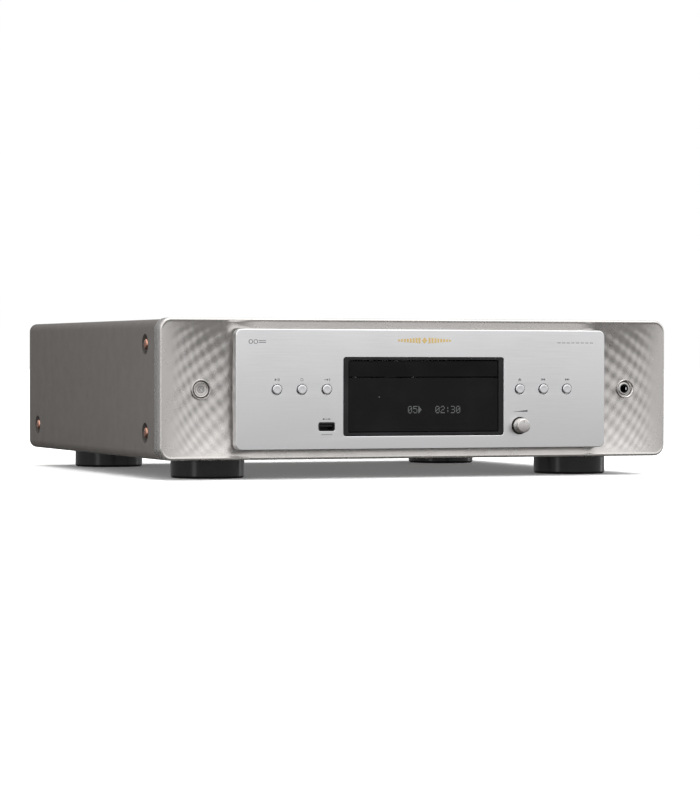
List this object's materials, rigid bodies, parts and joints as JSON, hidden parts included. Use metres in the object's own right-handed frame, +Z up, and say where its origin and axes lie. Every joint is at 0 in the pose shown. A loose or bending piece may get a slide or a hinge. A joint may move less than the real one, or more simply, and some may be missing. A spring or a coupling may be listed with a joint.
{
  "type": "cd player",
  "caption": "Full-width hi-fi disc player: a floating brushed front plate with a dark window between studded wings, round keys, a knob, a motor tray, rear sockets and round feet.",
  "frame": {"origin": "on the supporting surface, under the middle of the whole object's width and depth (knob and rear sockets included)", "axes": "+X to the right as seen from the front, +Y to the rear, +Z up; the front faces -Y"},
  "size_m": [0.442, 0.4272, 0.129],
  "materials": {
    "cover_screws": "copper-plated steel, satin",
    "champagne_resin": "satin champagne-silver paint on a moulded frame",
    "aluminium": "fine brushed, clear anodised",
    "cover_paint": "fine-textured warm grey paint on folded steel",
    "steel": "zinc-plated",
    "black_plastic": "matt black",
    "black_gloss": "polished black",
    "smoked_acrylic": "dark smoked acrylic, polished",
    "chrome": "polished",
    "gold": "gold-plated, polished",
    "rubber": "matt",
    "white_plastic": "natural acetal",
    "circuit_board": "green solder mask",
    "display_glass": "dark display glass, taken as a solid block"
  },
  "bodies": {
    "housing": {"front_frame": "champagne_resin", "power_bezel": "champagne_resin", "front_plate": "aluminium", "window_bezel": "black_plastic", "display_window": "smoked_acrylic", "display_module": "display_glass", "top_cover": "cover_paint", "rear_panel": "cover_paint", "bottom_chassis": "steel", "headphone_jack": "chrome", "usb_socket": "steel", "power_switch": "black_plastic", "control_board_left": "circuit_board", "control_board_right": "circuit_board", "loader_frame": "black_plastic", "loader_bracket": "steel", "clamp_bridge": "steel", "loading_motor": "steel", "drive_belt": "rubber", "power_transformer": "steel", "power_board": "circuit_board", "audio_board": "circuit_board", "digital_board": "circuit_board", "analog_outputs": "gold", "coaxial_out": "gold", "remote_sockets": "gold", "optical_out": "black_plastic", "mains_inlet": "black_plastic", "foot_front_left": "black_gloss", "foot_front_right": "black_gloss", "foot_rear_left": "black_gloss", "foot_rear_right": "black_gloss", "cover_screw_upper_front_left": "cover_screws", "cover_screw_upper_front_right": "cover_screws", "cover_screw_lower_front_left": "cover_screws", "cover_screw_lower_front_right": "cover_screws", "cover_screw_lower_rear_left": "cover_screws", "cover_screw_lower_rear_right": "cover_screws"},
    "tray": {"disc_tray": "black_plastic", "tray_front": "black_gloss"},
    "loading_gear_body": {"loading_gear": "white_plastic"},
    "drive_pulley_body": {"drive_pulley": "white_plastic"},
    "motor_pulley_body": {"motor_pulley": "white_plastic"},
    "clamper_body": {"clamper": "white_plastic"},
    "traverse": {"traverse_plate": "steel", "spindle_motor": "steel", "guide_rod_left": "chrome", "guide_rod_right": "chrome", "sled_motor": "steel"},
    "turntable_body": {"turntable": "black_plastic"},
    "pickup": {"optical_pickup": "black_plastic"},
    "sled_gear_body": {"sled_gear": "white_plastic"},
    "power_button_body": {"power_button": "aluminium"},
    "knob": {"level_knob": "aluminium"},
    "play_button_body": {"play_button": "aluminium"},
    "stop_button_body": {"stop_button": "aluminium"},
    "input_button_body": {"input_button": "aluminium"},
    "eject_button_body": {"eject_button": "aluminium"},
    "previous_button_body": {"previous_button": "aluminium"},
    "next_button_body": {"next_button": "aluminium"}
  },
  "joints": [
    {"name": "play_press", "type": "slide", "parent": "housing", "child": "play_button_body", "axis": [0, 1, 0], "range_m": [0, 0.001], "stiffness_N_per_m": 600},
    {"name": "stop_press", "type": "slide", "parent": "housing", "child": "stop_button_body", "axis": [0, 1, 0], "range_m": [0, 0.001], "stiffness_N_per_m": 600},
    {"name": "input_press", "type": "slide", "parent": "housing", "child": "input_button_body", "axis": [0, 1, 0], "range_m": [0, 0.001], "stiffness_N_per_m": 600},
    {"name": "eject_press", "type": "slide", "parent": "housing", "child": "eject_button_body", "axis": [0, 1, 0], "range_m": [0, 0.001], "stiffness_N_per_m": 600},
    {"name": "previous_press", "type": "slide", "parent": "housing", "child": "previous_button_body", "axis": [0, 1, 0], "range_m": [0, 0.001], "stiffness_N_per_m": 600},
    {"name": "next_press", "type": "slide", "parent": "housing", "child": "next_button_body", "axis": [0, 1, 0], "range_m": [0, 0.001], "stiffness_N_per_m": 600},
    {"name": "power_press", "type": "slide", "parent": "housing", "child": "power_button_body", "axis": [0, 1, 0], "range_m": [0, 0.001], "stiffness_N_per_m": 600},
    {"name": "level_turn", "type": "hinge", "parent": "housing", "child": "knob", "pos_m": [0.0843, -0.208, 0.0422], "axis": [0, 1, 0], "range_deg": [-140, 140]},
    {"name": "tray_slide", "type": "slide", "parent": "housing", "child": "tray", "axis": [0, -1, 0], "range_m": [0, 0.135]},
    {"name": "loading_gear_turn", "type": "hinge", "parent": "housing", "child": "loading_gear_body", "pos_m": [-0.062, -0.165, 0.084], "axis": [0, 0, 1], "range_deg": [-780, 0]},
    {"name": "drive_pulley_turn", "type": "hinge", "parent": "housing", "child": "drive_pulley_body", "pos_m": [-0.062, -0.15, 0.075], "axis": [0, 0, 1], "range_deg": [0, 1550]},
    {"name": "motor_pulley_turn", "type": "hinge", "parent": "housing", "child": "motor_pulley_body", "pos_m": [-0.067, -0.112, 0.068], "axis": [0, 0, 1], "range_deg": [0, 5165]},
    {"name": "clamper_spin", "type": "hinge", "parent": "housing", "child": "clamper_body", "pos_m": [0, -0.124, 0.095], "axis": [0, 0, 1], "continuous": true},
    {"name": "traverse_tilt", "type": "hinge", "parent": "housing", "child": "traverse", "pos_m": [0, -0.046, 0.0765], "axis": [1, 0, 0], "range_deg": [0, 5]},
    {"name": "spindle_spin", "type": "hinge", "parent": "traverse", "child": "turntable_body", "pos_m": [0, -0.124, 0.086], "axis": [0, 0, 1], "continuous": true},
    {"name": "pickup_slide", "type": "slide", "parent": "traverse", "child": "pickup", "axis": [0, 1, 0], "range_m": [0, 0.033]},
    {"name": "sled_gear_turn", "type": "hinge", "parent": "traverse", "child": "sled_gear_body", "pos_m": [0.039, -0.084, 0.0804], "axis": [0, 0, 1], "range_deg": [-318, 0]}
  ],
  "couplings": [
    {"joint": "loading_gear_turn", "follows": "tray_slide", "rad_per_m": -100},
    {"joint": "drive_pulley_turn", "follows": "tray_slide", "rad_per_m": 200},
    {"joint": "motor_pulley_turn", "follows": "tray_slide", "rad_per_m": 666.67},
    {"joint": "clamper_spin", "follows": "spindle_spin", "ratio": 1},
    {"joint": "sled_gear_turn", "follows": "pickup_slide", "rad_per_m": -166.67}
  ]
}
